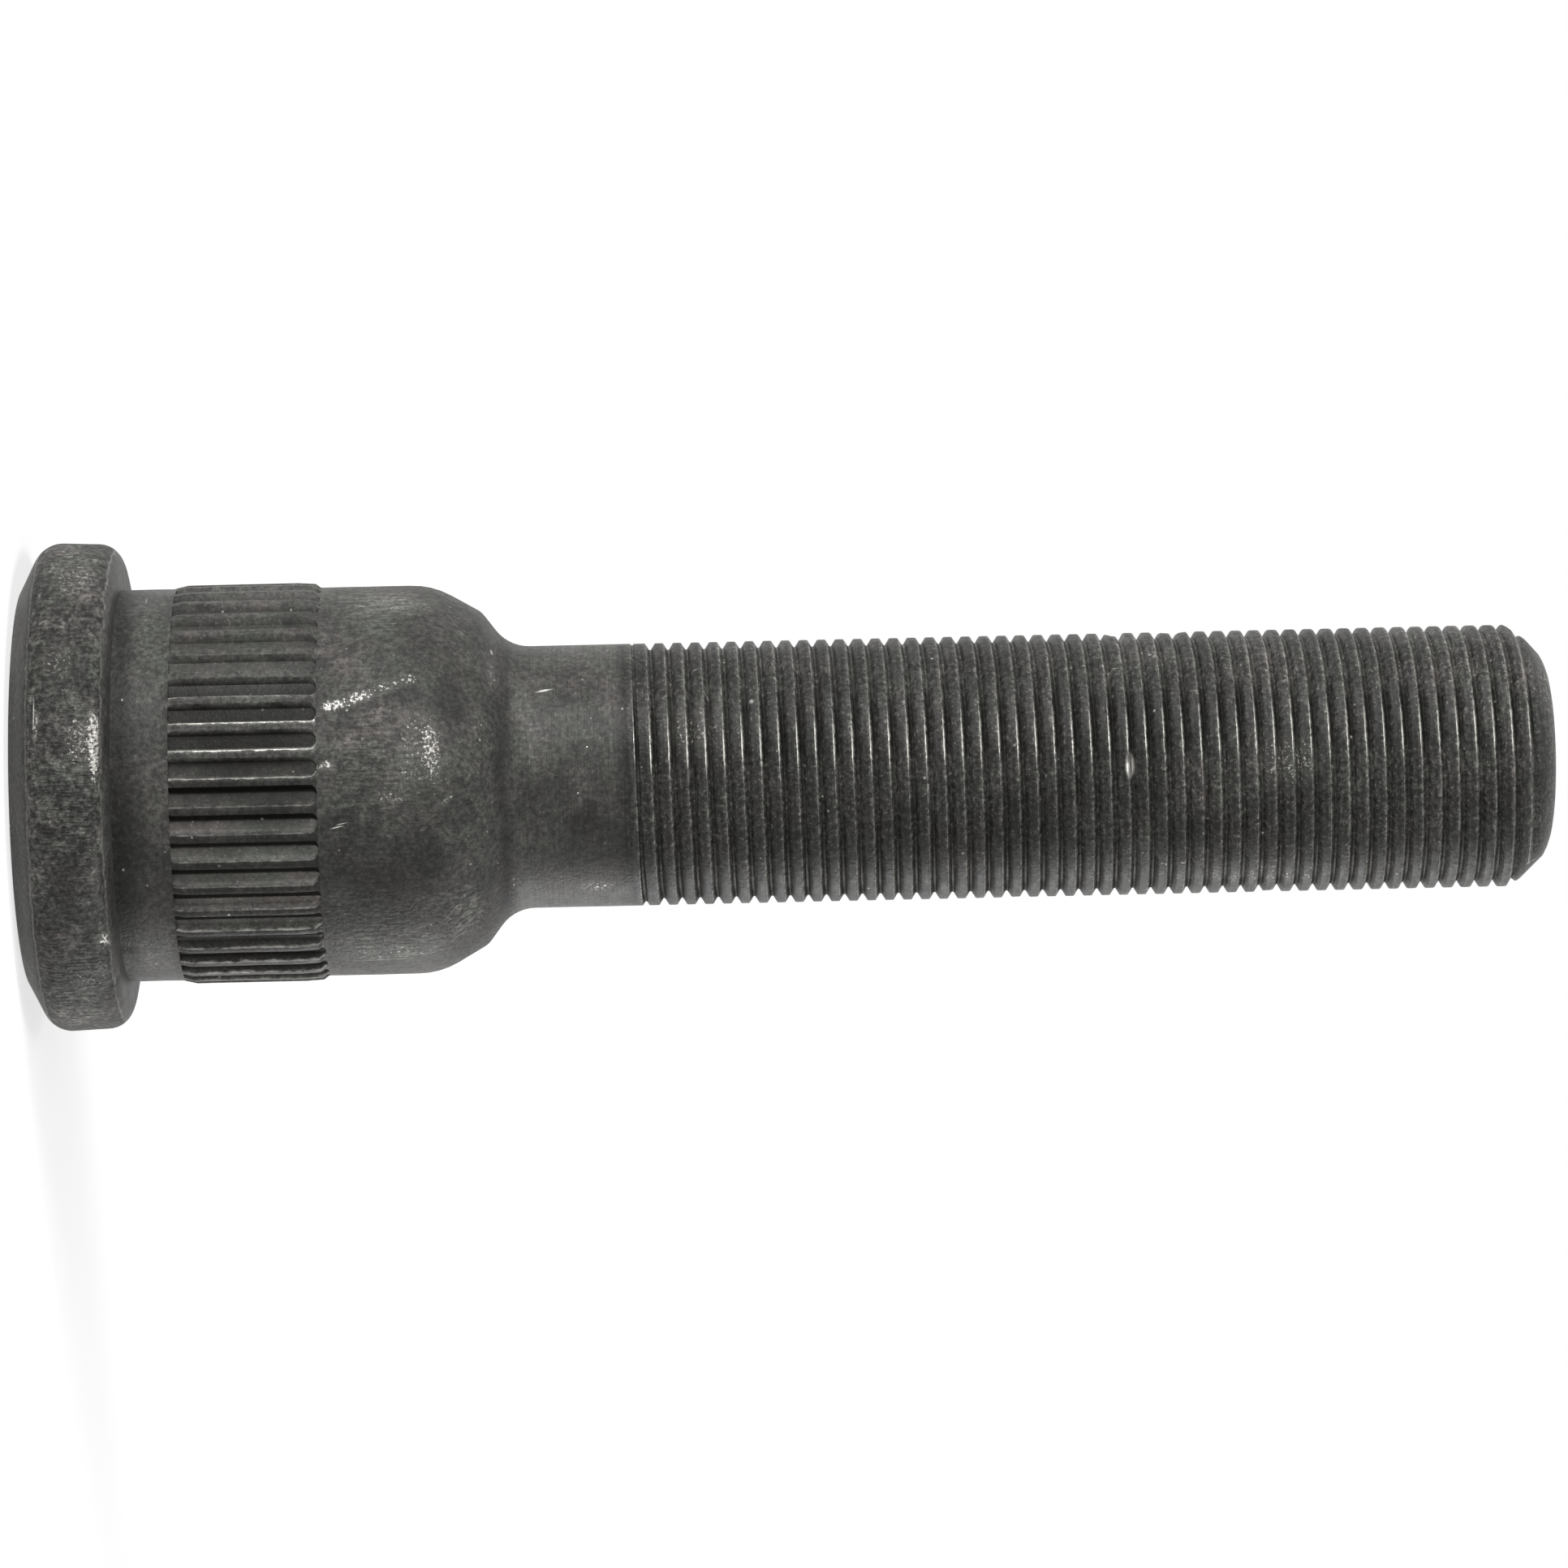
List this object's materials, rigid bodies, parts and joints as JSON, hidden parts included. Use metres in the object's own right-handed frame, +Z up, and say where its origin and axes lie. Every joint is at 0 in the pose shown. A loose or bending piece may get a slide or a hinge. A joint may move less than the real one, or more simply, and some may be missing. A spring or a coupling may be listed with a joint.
{
  "type": "wheel stud",
  "caption": "Press-in wheel stud with a round forged head, a serrated band, a stepped body and a long metric fine thread.",
  "frame": {"origin": "centre of the flat back face of the head, on the surface that the stud stands on", "axes": "+Z up the stud's axis from the head towards the threaded tip; +X and +Y are any two directions square to it"},
  "size_m": [0.0406, 0.0406, 0.1264],
  "materials": {
    "phosphated_steel": "dark phosphate coat on forged and rolled steel, matt, worn bright on edges"
  },
  "bodies": {
    "root": {"wheel_stud": "phosphated_steel"}
  },
  "joints": []
}
